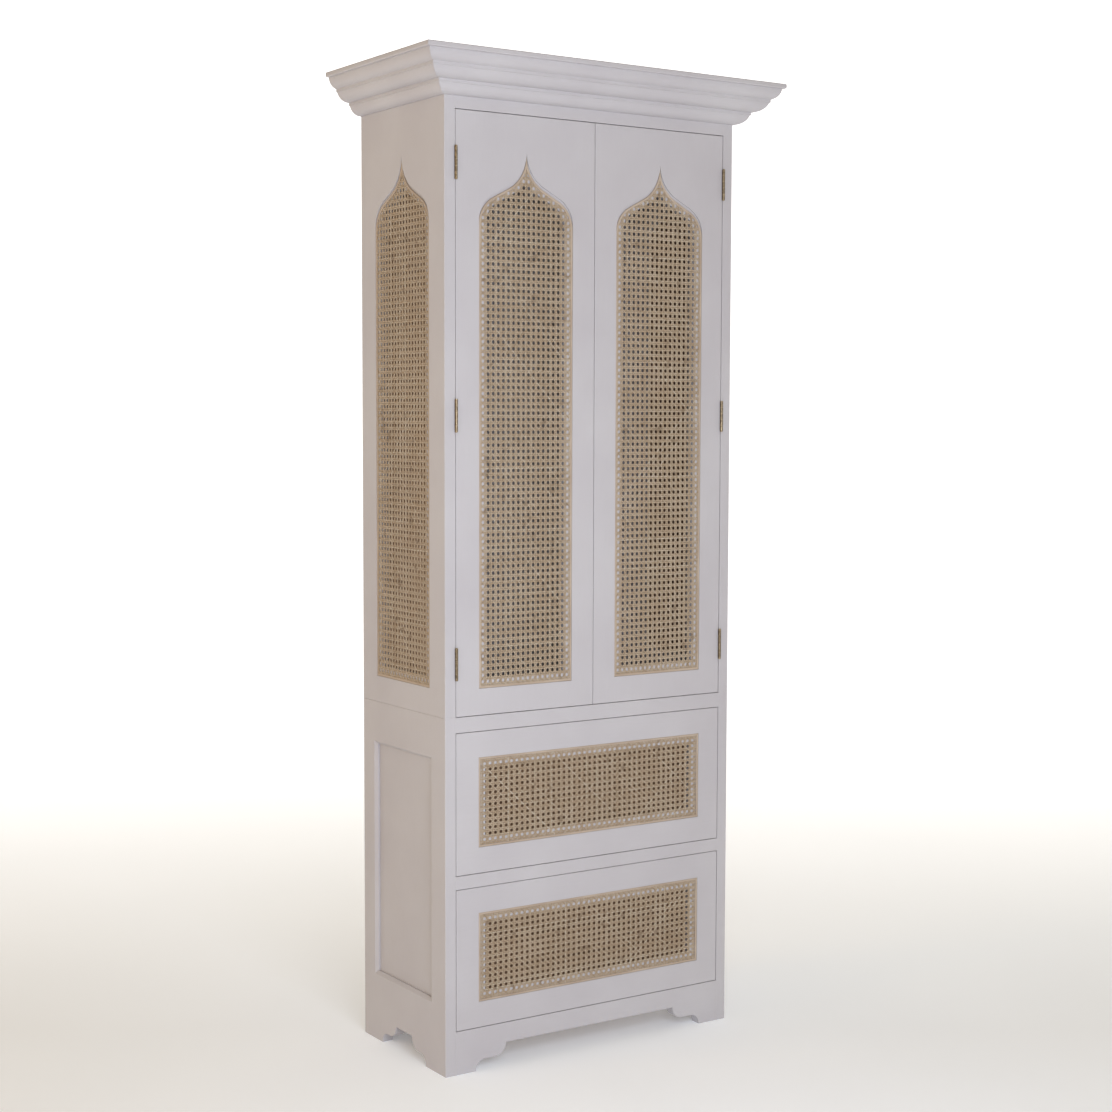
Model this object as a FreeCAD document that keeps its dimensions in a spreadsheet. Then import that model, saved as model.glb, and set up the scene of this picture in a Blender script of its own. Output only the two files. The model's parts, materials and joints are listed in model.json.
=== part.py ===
import FreeCAD, Part

import math
import os
import re

import Sketcher

# A tall painted armoire in two stacked cases, with ogee-arched cane panels in its doors and sides,
# cane-fronted drawers below, bracket feet and a three-tier cornice.
# Frame: millimetres, +Z up, origin at the middle of the bounding box on the floor, front towards -Y.

SIZES = {
    # Overall
    "carcass_width": 700,
    "carcass_depth": 340,
    "total_height": 2000,
    "cornice_height": 82,
    "cornice_reach": 80,
    "seam_level": 716,
    # Boards
    "board_thick": 24,
    "shelf_thick": 20,
    "cap_thick": 18,
    "back_thick": 8,
    "front_gap": 1.2,
    "stop_gap": 2,
    "arris": 1,
    # Front of the base case
    "base_rail_height": 30.5,
    "divider_height": 26.5,
    "apron_top": 87.5,
    # Bracket feet
    "foot_cove": 22.5,
    "foot_round": 25,
    "front_foot": 70,
    "front_foot_flat": 23.5,
    "side_foot": 78,
    "side_foot_flat": 11,
    # Sunk panel in each side of the base case
    "recess_depth": 10,
    "recess_bevel": 6,
    "recess_front": 55,
    "recess_rear": 46,
    "recess_low": 139,
    "recess_head": 83.5,
    "panel_lap": 8,
    # Cane panels: a shallow rebate holds the webbing, a smaller opening goes right through
    "door_frame": 52.5,
    "side_frame": 60,
    "drawer_frame": 51.5,
    "rebate_depth": 3,
    "cane_thick": 2.4,
    "cane_play": 0.3,
    "rebate_lap": 19,
    "drawer_lap": 17,
    "lining_thick": 3,
    # Ogee arch
    "arch_margin": 70,
    "arch_stretch": 1.03,
    "arch_low_radius": 60,
    "arch_top_radius": 75,
    # Cornice profile, from the carcass outwards and upwards
    "cornice_lip": 1.5,
    "ovolo_low_out": 24,
    "ovolo_low_up": 19,
    "ovolo_low_radius": 24.7,
    "fillet_out": 2,
    "fillet_up": 6,
    "ovolo_mid_out": 27,
    "ovolo_mid_up": 19,
    "ovolo_mid_radius": 27,
    "ovolo_top_out": 16.5,
    "ovolo_top_up": 22,
    "ovolo_top_radius": 22.9,
    "cornice_nose": 2.5,
    # Drawer boxes
    "drawer_side_thick": 12,
    "drawer_side_height": 250,
    "drawer_floor_thick": 8,
    "drawer_floor_lift": 10,
    "drawer_side_play": 4,
    "drawer_rear_play": 10,
    "runner_play": 0.6,
    "runner_width": 30,
    "runner_height": 20,
    "floor_thick": 16,
    # Butt hinges
    "hinge_height": 63,
    "hinge_low_inset": 104.4,
    "hinge_high_inset": 101.4,
    "barrel_radius": 3,
    "barrel_offset": 3.2,
    "pin_radius": 1.5,
    "pin_play": 0.05,
    "pin_head_radius": 2.3,
    "pin_head_height": 1.2,
    "knuckle_gap": 0.4,
    "leaf_thick": 1.6,
    "leaf_recess": 1.2,
    "leaf_width": 19,
    "leaf_notch": 3.6,
    "tongue_start": 1.9,
    "screw_radius": 1.6,
    "screw_head_radius": 3.2,
    "screw_length": 14,
    "screw_back": 10,
    "screw_spacing": 21,
    # Magnetic catches
    "catch_half": 45,
    "catch_depth": 18,
    "catch_below": 8,
    "magnet_radius": 5,
    "magnet_depth": 6,
    "magnet_across": 24,
    "magnet_drop": 11,
    "strike_radius": 8,
    "strike_thick": 1.2,
    # Hanging rail
    "rail_radius": 12.5,
    "rail_drop": 68,
    "flange_radius": 25,
    "flange_thick": 5,
    "socket_radius": 16,
    "socket_length": 18,
    # Dowels that locate the upper case on the base
    "dowel_radius": 5,
    "dowel_depth": 14,
    "dowel_across": 200,
    "dowel_inset": 90,
}

HINGES = 3
KNUCKLES = 5
SCREWS = 3
SIDES = {"left": -1, "right": 1}
NORMAL = {"XY_Plane": 1, "XZ_Plane": -1, "YZ_Plane": 1}
TOUCH = 0.001

# Levels and faces of the carcass, as formulas over the sizes
HALF = "(carcass_width / 2)"
INNER = "(carcass_width / 2 - board_thick)"
FRONT = "((cornice_reach - carcass_depth) / 2)"
BACK = "((cornice_reach + carcass_depth) / 2)"
MIDDLE = "(cornice_reach / 2)"
BEHIND = f"({FRONT} + board_thick)"
BACK_BOARD = f"({BACK} - back_thick)"
FRONT_THICK = "(board_thick - stop_gap)"
TOP = "(total_height - cornice_height)"
CAP = "(total_height - cap_thick)"
MAGNET_LEVEL = f"({TOP} - board_thick - magnet_drop)"
DOOR_LOW = "(seam_level + front_gap)"
DOOR_HIGH = f"({TOP} - board_thick - front_gap)"
DOOR_EDGE = f"({INNER} - front_gap)"
DOOR_HALF = f"(({DOOR_EDGE} - front_gap / 2) / 2)"
DOOR_CENTRE = f"(({DOOR_EDGE} + front_gap / 2) / 2)"
ARCH_TIP = f"({DOOR_HIGH} - arch_margin)"
ARCH_RISE = "((arch_low_radius + arch_top_radius) * arch_stretch)"
CANE_LOW = f"({DOOR_LOW} + door_frame)"
SIDE_CANE_HALF = "(carcass_depth / 2 - side_frame)"
OPENING = "((seam_level - base_rail_height - apron_top - divider_height) / 2)"
DRAWERS = {"lower": "apron_top", "upper": f"(apron_top + {OPENING} + divider_height)"}
AXIS_X = f"({INNER} - front_gap / 2)"
AXIS_Y = f"({FRONT} - barrel_offset)"
KNUCKLE = f"(hinge_height / {KNUCKLES})"

doc = FreeCAD.newDocument("armoire")
sheet = doc.addObject("Spreadsheet::Sheet", "sizes")
for row, (alias, number) in enumerate(SIZES.items(), start=1):
    sheet.set(f"A{row}", str(number))
    sheet.setAlias(f"A{row}", alias)
doc.recompute()

nodes = []
cuts = []


def bound(formula):
    """The formula with every size name turned into its spreadsheet reference."""
    return re.sub(r"[a-z_]+", lambda word: "sizes." + word[0] if word[0] in SIZES else word[0], formula)


def value(formula):
    """The number that a formula gives now."""
    return float(sheet.evalExpression(bound(formula)))


def bind(thing, **formulas):
    """Binds properties of a document object to formulas."""
    for name, formula in formulas.items():
        thing.setExpression(name, bound(formula))
    return thing


def place(thing, x="0", y="0", z="0"):
    """Binds the position of a document object to formulas."""
    for axis, formula in zip("xyz", (x, y, z)):
        thing.setExpression(f"Placement.Base.{axis}", bound(formula))
    return thing


def node(thing, name):
    """Marks a document object as a finished piece with its own name."""
    thing.Label = name
    nodes.append(thing)
    return thing


# ---------------------------------------------------------------- sketches and features

def dimension(sketch, formula, *constraint):
    """Adds a sketch dimension and binds it."""
    index = sketch.addConstraint(Sketcher.Constraint(*constraint, value(formula)))
    sketch.setExpression(f"Constraints[{index}]", bound(formula))


def arc_between(start, end, radius, turn):
    """The short arc from start to end that turns left (+1) or right (-1), always stored anticlockwise."""
    chord = end - start
    across = FreeCAD.Vector(-chord.y, chord.x, 0) / chord.Length
    centre = (start + end) / 2 + across * turn * math.sqrt(radius ** 2 - chord.Length ** 2 / 4)
    angles = [math.atan2(point.y - centre.y, point.x - centre.x) for point in (start, end)]
    if turn < 0:
        angles.reverse()
    if angles[1] < angles[0]:
        angles[1] += 2 * math.pi
    return Part.ArcOfCircle(Part.Circle(centre, FreeCAD.Vector(0, 0, 1), radius), *angles)


def outline(sketch, corners):
    """Draws one closed loop. A corner is (across, up), or (across, up, radius, turn) ahead of an arc."""
    first = sketch.GeometryCount
    points = [FreeCAD.Vector(value(corner[0]), value(corner[1]), 0) for corner in corners]
    ends = []
    for index, corner in enumerate(corners):
        start = points[index]
        end = points[(index + 1) % len(corners)]
        if len(corner) == 2:
            sketch.addGeometry(Part.LineSegment(start, end))
            ends.append((1, 2))
        else:
            sketch.addGeometry(arc_between(start, end, value(corner[2]), corner[3]))
            ends.append((1, 2) if corner[3] > 0 else (2, 1))
    for index, corner in enumerate(corners):
        after = (index + 1) % len(corners)
        sketch.addConstraint(
            Sketcher.Constraint("Coincident", first + index, ends[index][1], first + after, ends[after][0]))
    for index, corner in enumerate(corners):
        dimension(sketch, corner[0], "DistanceX", -1, 1, first + index, ends[index][0])
        dimension(sketch, corner[1], "DistanceY", -1, 1, first + index, ends[index][0])
        if len(corner) == 4:
            dimension(sketch, corner[2], "Radius", first + index)


def circles(sketch, centres, radius):
    """Draws equal circles."""
    for across, up in centres:
        index = sketch.addGeometry(
            Part.Circle(FreeCAD.Vector(value(across), value(up), 0), FreeCAD.Vector(0, 0, 1), value(radius)))
        dimension(sketch, radius, "Radius", index)
        dimension(sketch, across, "DistanceX", -1, 1, index, 3)
        dimension(sketch, up, "DistanceY", -1, 1, index, 3)


def sketch_on(body, role, offset):
    """A new sketch on one of the body's origin planes, moved along the axis across it."""
    sketch = body.newObject("Sketcher::SketchObject", f"{body.Name}_sketch")
    plane = next(feature for feature in body.Origin.OriginFeatures if feature.Role == role)
    sketch.AttachmentSupport = (plane, [""])
    sketch.MapMode = "FlatFace"
    sketch.setExpression("AttachmentOffset.Base.z", bound(f"{NORMAL[role]} * ({offset})"))
    return sketch


def new_body(name, **position):
    """An empty body at its place."""
    return node(place(doc.addObject("PartDesign::Body", name), **position), name)


def pad(body, role, toward, length, corners, offset="0"):
    """Adds a solid of one outline, growing along +axis (toward 1) or -axis (toward -1)."""
    sketch = sketch_on(body, role, offset)
    outline(sketch, corners)
    solid = body.newObject("PartDesign::Pad", f"{body.Name}_pad")
    solid.Profile = sketch
    solid.Reversed = toward * NORMAL[role] < 0
    return bind(solid, Length=length)


def pocket(body, role, toward, depth, offset="0", corners=None, centres=None, radius=None):
    """Cuts one outline or a set of round holes, going along +axis (toward 1) or -axis (toward -1)."""
    sketch = sketch_on(body, role, offset)
    if corners:
        outline(sketch, corners)
    else:
        circles(sketch, centres, radius)
    hollow = body.newObject("PartDesign::Pocket", f"{body.Name}_cut")
    hollow.Profile = sketch
    hollow.Reversed = toward * NORMAL[role] > 0
    cuts.append(hollow)
    return bind(hollow, Length=depth)


def picked_edges(body, chosen):
    """Names of the edges of the body's present shape whose middle passes the test."""
    doc.recompute()
    edges = body.Tip.Shape.Edges
    return [f"Edge{number}" for number, edge in enumerate(edges, start=1) if chosen(edge.CenterOfGravity)]


def ease(body, size, chosen, kind="Fillet"):
    """Rounds (Fillet) or bevels (Chamfer) the chosen edges."""
    names = picked_edges(body, chosen)
    feature = body.newObject(f"PartDesign::{kind}", f"{body.Name}_eased")
    feature.Base = (feature.BaseFeature or body.Tip, names)
    cuts.append(feature)
    return bind(feature, **{"Radius" if kind == "Fillet" else "Size": size})


def near(number, *targets):
    return any(abs(number - target) < TOUCH for target in targets)


def outer_arris(middle, corners):
    """True for an edge of a side board's outer face that runs up a corner or along the seam."""
    return near(middle.x, 0) and (near(middle.y, *corners) or near(middle.z, value("seam_level")))


def rectangle(left, low, right, high):
    return [(left, low), (right, low), (right, high), (left, high)]


def box(name, low, size):
    """A plain board or block from its low corner and its three sizes."""
    thing = doc.addObject("Part::Box", name)
    bind(thing, Length=size[0], Width=size[1], Height=size[2])
    return place(thing, *low)


def board(name, x, y, z):
    """A plain board between two formulas along each axis."""
    return node(box(name, (x[0], y[0], z[0]), [f"({high}) - ({low})" for low, high in (x, y, z)]), name)


def rod(name, radius, length, at, axis="z"):
    """A cylinder from one end, along +X, +Y or +Z."""
    turns = {"x": FreeCAD.Rotation(FreeCAD.Vector(0, 1, 0), 90),
             "y": FreeCAD.Rotation(FreeCAD.Vector(1, 0, 0), -90),
             "z": FreeCAD.Rotation()}
    thing = doc.addObject("Part::Cylinder", name)
    thing.Placement = FreeCAD.Placement(FreeCAD.Vector(), turns[axis])
    return place(bind(thing, Radius=radius, Height=length), *at)


def joined(name, things):
    thing = doc.addObject("Part::MultiFuse", name)
    thing.Shapes = things
    return thing


def grouped(name, things):
    thing = doc.addObject("Part::Compound", name)
    thing.Links = things
    return thing


def cut_away(name, base, tool):
    thing = doc.addObject("Part::Cut", name)
    thing.Base = base
    thing.Tool = tool
    return thing


# ---------------------------------------------------------------- outlines

def bracket_bottom(left, right, foot, flat):
    """The lower edge between two outer faces: foot, cove, flat, round, straight apron, and back again."""
    cove = f"({left} + {foot} + foot_cove)"
    step = f"({left} + {foot} + foot_cove + {flat})"
    back_cove = f"({right} - {foot} - foot_cove)"
    back_step = f"({right} - {foot} - foot_cove - {flat})"
    apron = "(foot_cove + foot_round)"
    return [(left, "0"),
            (f"{left} + {foot}", "0", "foot_cove", -1),
            (cove, "foot_cove"),
            (step, "foot_cove", "foot_round", 1),
            (f"{step} + foot_round", apron),
            (f"{back_step} - foot_round", apron, "foot_round", 1),
            (back_step, "foot_cove"),
            (back_cove, "foot_cove", "foot_cove", -1),
            (f"{right} - {foot}", "0"),
            (right, "0")]


def arch(centre, half, inset="0"):
    """An upright panel with an ogee head. Each side of the head is a convex arc rising from the upright,
    a straight that touches both arcs, and a concave arc that ends upright at the tip. The straight's
    unit normal (lean, climb) comes from the internal tangent of the two circles."""
    reach = f"({half} - arch_low_radius)"
    across = f"(arch_top_radius - {reach})"
    radii = "(arch_low_radius + arch_top_radius)"
    apart = f"({across}^2 + {ARCH_RISE}^2)"
    tangent = f"sqrt({apart} - {radii}^2)"
    lean = f"(({radii} * {across} + {tangent} * {ARCH_RISE}) / {apart})"
    climb = f"(({radii} * {ARCH_RISE} - {tangent} * {across}) / {apart})"
    low_radius = f"(arch_low_radius - {inset})"
    top_radius = f"(arch_top_radius + {inset})"
    upright = f"({half} - {inset})"
    spring = f"({ARCH_TIP} - {ARCH_RISE})"
    low = f"({CANE_LOW} + {inset})"
    low_touch = (f"({reach} + {low_radius} * {lean})", f"{spring} + {low_radius} * {climb}")
    top_touch = (f"(arch_top_radius - {top_radius} * {lean})", f"{ARCH_TIP} - {top_radius} * {climb}")
    tip = f"{ARCH_TIP} - sqrt({top_radius}^2 - arch_top_radius^2)"
    return [(f"{centre} - {upright}", low),
            (f"{centre} + {upright}", low),
            (f"{centre} + {upright}", spring, low_radius, 1),
            (f"{centre} + {low_touch[0]}", low_touch[1]),
            (f"{centre} + {top_touch[0]}", top_touch[1], top_radius, -1),
            (centre, tip, top_radius, -1),
            (f"{centre} - {top_touch[0]}", top_touch[1]),
            (f"{centre} - {low_touch[0]}", low_touch[1], low_radius, 1),
            (f"{centre} - {upright}", spring)]


def cornice_profile(face, outward):
    """Three ovolo tiers parted by small square fillets, stepping out and up from a carcass face to a
    plain fascia with rounded edges. The back is solid over the board below."""
    tiers = [("cornice_lip", "0"),
             ("ovolo_low_out", "ovolo_low_up", "ovolo_low_radius"), ("fillet_out", "0"), ("0", "fillet_up"),
             ("ovolo_mid_out", "ovolo_mid_up", "ovolo_mid_radius"), ("fillet_out", "0"), ("0", "fillet_up"),
             ("ovolo_top_out", "ovolo_top_up", "ovolo_top_radius")]
    out = "0"
    up = "0"
    corners = []

    def corner(*arc):
        corners.append((f"{face} + {outward} * ({out})", f"{TOP} + {up}") + arc)

    for across, along, *radius in tiers:
        corner(*radius, *[outward for _ in radius])
        out = f"{out} + {across}"
        up = f"{up} + {along}"
    corner()
    out = "cornice_reach - cornice_nose"
    corner("cornice_nose", outward)
    out = "cornice_reach"
    up = f"{up} + cornice_nose"
    corner()
    up = "cornice_height - cornice_nose"
    corner("cornice_nose", outward)
    out = "cornice_reach - cornice_nose"
    up = "cornice_height"
    corner()
    out = "-board_thick"
    corner()
    up = "0"
    corner()
    return corners[1:]


# ---------------------------------------------------------------- hinge positions shared by wood and brass

def hinge_level(index):
    low = f"({DOOR_LOW} + hinge_low_inset)"
    high = f"({DOOR_HIGH} - hinge_high_inset)"
    return f"({low} + {index} / {HINGES - 1} * ({high} - {low}))"


def screw_levels():
    return [f"({hinge_level(hinge)} + ({screw - (SCREWS - 1) / 2}) * screw_spacing)"
            for hinge in range(HINGES) for screw in range(SCREWS)]


def hinge_seats(body, x, into, front):
    """Sinks the three leaves and their screws in the edge at x of a board whose front face is at front."""
    for index in range(HINGES):
        level = hinge_level(index)
        seat = rectangle(front, f"{level} - hinge_height / 2",
                         f"{front} + leaf_width", f"{level} + hinge_height / 2")
        pocket(body, "YZ_Plane", into, "leaf_recess", offset=x, corners=seat)
    centres = [(f"{front} + screw_back", level) for level in screw_levels()]
    pocket(body, "YZ_Plane", into, "screw_length + leaf_recess", offset=x,
           centres=centres, radius="screw_radius")


# ---------------------------------------------------------------- base case

def base_side(name, side):
    """Frame with bracket feet around a sunk flat panel."""
    body = new_body(f"base_side_frame_{name}", x=f"{side} * {HALF}")
    corners = bracket_bottom(FRONT, BACK, "side_foot", "side_foot_flat")
    pad(body, "YZ_Plane", -side, "board_thick", corners + [(BACK, "seam_level"), (FRONT, "seam_level")])
    low = "(recess_low + recess_bevel)"
    high = "(seam_level - recess_head - recess_bevel)"
    near_front = f"({FRONT} + recess_front + recess_bevel)"
    near_back = f"({BACK} - recess_rear - recess_bevel)"
    window = rectangle(near_front, low, near_back, high)
    seat = rectangle(f"{near_front} - panel_lap", f"{low} - panel_lap",
                     f"{near_back} + panel_lap", f"{high} + panel_lap")
    pocket(body, "YZ_Plane", -side, "board_thick", corners=window)
    pocket(body, "YZ_Plane", side, "board_thick - recess_depth",
           offset=f"{-side} * board_thick", corners=seat)
    corners = (value(FRONT), value(BACK))
    ease(body, "recess_bevel",
         lambda middle: near(middle.x, 0) and value("recess_low") < middle.z < value(f"{high} + 1")
         and not near(middle.y, *corners), "Chamfer")
    ease(body, "arris", lambda middle: outer_arris(middle, corners))
    panel = box(f"base_side_panel_{name}",
                (f"{side} * ({HALF} - recess_depth) - (1 + {side}) / 2 * (board_thick - recess_depth)",
                 f"{near_front} - panel_lap", f"{low} - panel_lap"),
                ("board_thick - recess_depth", f"{near_back} - {near_front} + 2 * panel_lap",
                 f"{high} - {low} + 2 * panel_lap"))
    node(panel, f"base_side_panel_{name}")


def apron(name, face, toward):
    """Board with a bracket foot at each end, between the sides."""
    body = new_body(name, y=face)
    corners = bracket_bottom(f"-{HALF}", HALF, "front_foot", "front_foot_flat")
    corners[0] = (f"-{INNER}", "0")
    corners[-1] = (INNER, "0")
    pad(body, "XZ_Plane", toward, "board_thick", corners + [(INNER, "apron_top"), (f"-{INNER}", "apron_top")])


def base_case():
    across = (f"-{INNER}", INNER)
    inside = (BEHIND, BACK_BOARD)
    lower_runners = []
    for name, side in SIDES.items():
        base_side(name, side)
        rail = (f"{side} * {INNER} - (1 + {side}) / 2 * runner_width",
                f"{side} * {INNER} + (1 - {side}) / 2 * runner_width")
        board(f"runner_upper_{name}", rail, inside,
              (f"{DRAWERS['upper']} - divider_height", DRAWERS["upper"]))
        lower_runners.append(box(f"runner_lower_{name}", (rail[0], BEHIND, "apron_top - runner_height"),
                                 ("runner_width", f"{BACK} - board_thick - {BEHIND}", "runner_height")))
    node(grouped("runners_lower", lower_runners), "runners_lower")
    front = (FRONT, BEHIND)
    board("base_top_rail", across, front, ("seam_level - base_rail_height", "seam_level"))
    board("drawer_divider_rail", across, front, (f"{DRAWERS['upper']} - divider_height", DRAWERS["upper"]))
    apron("front_apron", FRONT, 1)
    apron("rear_apron", BACK, -1)
    board("base_floor_board", across, (BEHIND, f"{BACK} - board_thick"),
          ("apron_top - runner_height - floor_thick", "apron_top - runner_height"))
    board("base_back_panel", across, (BACK_BOARD, BACK), ("apron_top", "seam_level"))


def dowel_places():
    return [(f"{x} * dowel_across", y) for x in (-1, 1)
            for y in (f"{BEHIND} + dowel_inset - board_thick", f"{BACK} - dowel_inset")]


def stacked_boards():
    """The base's top board and the upper case's floor board, with the dowels between them."""
    lower = new_body("base_top_board", z="seam_level")
    pad(lower, "XY_Plane", -1, "shelf_thick", rectangle(f"-{INNER}", BEHIND, INNER, BACK_BOARD))
    pocket(lower, "XY_Plane", -1, "dowel_depth", centres=dowel_places(), radius="dowel_radius")
    upper = new_body("upper_floor_board", z="seam_level")
    pad(upper, "XY_Plane", 1, "shelf_thick",
        rectangle(f"-{INNER}", BEHIND, INNER, BACK_BOARD))
    pocket(upper, "XY_Plane", 1, "dowel_depth", centres=dowel_places(), radius="dowel_radius")
    pins = [rod(f"dowel_{number}", "dowel_radius", "2 * dowel_depth", (x, y, "seam_level - dowel_depth"))
            for number, (x, y) in enumerate(dowel_places())]
    node(grouped("stacking_dowels", pins), "stacking_dowels")


# ---------------------------------------------------------------- upper case

def upper_side(name, side):
    """Side board with an arched opening, its webbing, a thin lining behind it, and the hinge seats."""
    body = new_body(f"upper_side_{name}", x=f"{side} * {HALF}")
    pad(body, "YZ_Plane", -side, "board_thick", rectangle(FRONT, "seam_level", BACK, TOP))
    pocket(body, "YZ_Plane", -side, "rebate_depth", corners=arch(MIDDLE, SIDE_CANE_HALF))
    pocket(body, "YZ_Plane", -side, "board_thick", corners=arch(MIDDLE, SIDE_CANE_HALF, "rebate_lap"))
    hinge_seats(body, f"{-side} * board_thick", side, FRONT)
    corners = (value(FRONT), value(BACK))
    ease(body, "arris", lambda middle: outer_arris(middle, corners))
    cane = new_body(f"side_cane_{name}", x=f"{side} * ({HALF} - rebate_depth)")
    pad(cane, "YZ_Plane", side, "cane_thick", arch(MIDDLE, SIDE_CANE_HALF, "cane_play"))
    lining = new_body(f"side_lining_{name}", x=f"{side} * {INNER}")
    pad(lining, "YZ_Plane", side, "lining_thick", arch(MIDDLE, SIDE_CANE_HALF, "rebate_lap"))


def hanging_rail():
    level = f"{TOP} - rail_drop"
    node(rod("hanging_rail", "rail_radius", f"2 * ({INNER} - flange_thick)",
             (f"-({INNER} - flange_thick)", MIDDLE, level), "x"), "hanging_rail")
    sockets = []
    for name, side in SIDES.items():
        start = f"{side} * {INNER} - (1 + {side}) / 2 * "
        parts = [rod(f"rail_{part}_{name}", radius, length, (f"{start} {length}", MIDDLE, level), "x")
                 for part, radius, length in (("flange", "flange_radius", "flange_thick"),
                                              ("collar", "socket_radius", "socket_length"))]
        bore = rod(f"rail_bore_{name}", "rail_radius", "socket_length - flange_thick",
                   (f"{side} * ({INNER} - flange_thick) - (1 + {side}) / 2 * (socket_length - flange_thick)",
                    MIDDLE, level), "x")
        sockets.append(cut_away(f"rail_socket_{name}", joined(f"rail_cup_{name}", parts), bore))
    node(grouped("rail_sockets", sockets), "rail_sockets")


def catches():
    """Block under the top board with two magnets that face the strike plates on the doors."""
    low = f"({MAGNET_LEVEL} - catch_below)"
    block = box("catch_blank", ("-catch_half", BEHIND, low),
                ("2 * catch_half", "catch_depth", f"{TOP} - shelf_thick - {low}"))
    magnets = grouped("catch_magnets", [
        rod(f"magnet_{name}", "magnet_radius", "magnet_depth",
            (f"{side} * magnet_across", BEHIND, MAGNET_LEVEL), "y")
        for name, side in SIDES.items()])
    node(magnets, "catch_magnets")
    node(cut_away("catch_block", block, magnets), "catch_block")


def upper_case():
    across = (f"-{INNER}", INNER)
    for name, side in SIDES.items():
        upper_side(name, side)
    board("upper_top_rail", across, (FRONT, BEHIND), (f"{TOP} - board_thick", TOP))
    board("upper_top_board", across, (BEHIND, BACK_BOARD), (f"{TOP} - shelf_thick", TOP))
    board("upper_back_panel", across, (BACK_BOARD, BACK), ("seam_level", CAP))
    board("cornice_cap", across, (BEHIND, BACK), (CAP, "total_height"))
    hanging_rail()
    catches()


def cornice():
    """Front and side mouldings, mitred together at the front corners and flush with the back."""
    inner = (INNER, BEHIND)
    outer = (f"({HALF} + cornice_reach)", f"({FRONT} - cornice_reach)")
    front = new_body("cornice_front", x=f"-{outer[0]}")
    pad(front, "YZ_Plane", 1, f"2 * {outer[0]}", cornice_profile(FRONT, -1))
    for side in (-1, 1):
        waste = [(f"{outer[0]} + {side} * {inner[0]}", inner[1]),
                 (f"{outer[0]} + {side} * {outer[0]}", outer[1]),
                 (f"{outer[0]} + {side} * {outer[0]}", inner[1])]
        pocket(front, "XY_Plane", -1, "cornice_height", offset="total_height", corners=waste)
    for name, side in SIDES.items():
        piece = new_body(f"cornice_{name}", y=BACK)
        length = f"({BACK} - {outer[1]})"
        pad(piece, "XZ_Plane", -1, length, cornice_profile(f"{side} * {HALF}", side))
        waste = [(f"{side} * {inner[0]}", f"{inner[1]} - {BACK}"), (f"{side} * {outer[0]}", f"-{length}"),
                 (f"{side} * {inner[0]}", f"-{length}")]
        pocket(piece, "XY_Plane", -1, "cornice_height", offset="total_height", corners=waste)


# ---------------------------------------------------------------- hinges

def leaf(name, side, hinge, of_door, screws):
    """One leaf: a plate sunk in the wood, tongues to its own knuckles, and the knuckles round the pin.
    The plate lies on the wood's side of the pin, so door and case leaves face each other."""
    toward = -side if of_door else side
    low = f"({hinge_level(hinge)} - hinge_height / 2)"
    play = "(front_gap / 2 + leaf_recess - leaf_thick)"
    x = f"({side} * {AXIS_X} + {toward} * {play} - (1 - {toward}) / 2 * leaf_thick)"
    tag = f"{name}_{hinge}"
    pieces = [box(f"plate_{tag}", (x, f"{AXIS_Y} + leaf_notch", low),
                  ("leaf_thick", "leaf_width + barrel_offset - leaf_notch", "hinge_height"))]
    for knuckle in range(1 if of_door else 0, KNUCKLES, 2):
        trimmed = [f"{int(inward)} * knuckle_gap / 2" for inward in (knuckle > 0, knuckle < KNUCKLES - 1)]
        start = f"({low} + {knuckle} * {KNUCKLE} + {trimmed[0]})"
        length = f"({KNUCKLE} - {trimmed[0]} - {trimmed[1]})"
        pieces.append(rod(f"knuckle_{tag}_{knuckle}", "barrel_radius", length,
                          (f"{side} * {AXIS_X}", AXIS_Y, start)))
        pieces.append(box(f"tongue_{tag}_{knuckle}", (x, f"{AXIS_Y} + tongue_start", start),
                          ("leaf_thick", "leaf_notch - tongue_start", length)))
    bore = rod(f"bore_{tag}", "pin_radius + pin_play" if of_door else "pin_radius", "hinge_height",
               (f"{side} * {AXIS_X}", AXIS_Y, low))
    return cut_away(f"leaf_{tag}", joined(f"blank_{tag}", pieces), joined(f"holes_{tag}", [bore] + screws))


def screw(tag, side, toward, level):
    """Countersunk screw driven through a leaf into the wood."""
    face = f"{side} * {AXIS_X} + {toward} * (front_gap / 2 + leaf_recess - leaf_thick)"
    turn = FreeCAD.Rotation(FreeCAD.Vector(0, 1, 0), 90 * toward)
    y = f"{FRONT} + screw_back"
    head = doc.addObject("Part::Cone", f"head_{tag}")
    bind(head, Radius1="screw_head_radius", Radius2="screw_radius", Height="leaf_thick")
    shank = doc.addObject("Part::Cylinder", f"shank_{tag}")
    bind(shank, Radius="screw_radius", Height="screw_length + leaf_thick")
    for thing in (head, shank):
        thing.Placement = FreeCAD.Placement(FreeCAD.Vector(), turn)
        place(thing, face, y, level)
    return joined(f"screw_{tag}", [head, shank])


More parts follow.
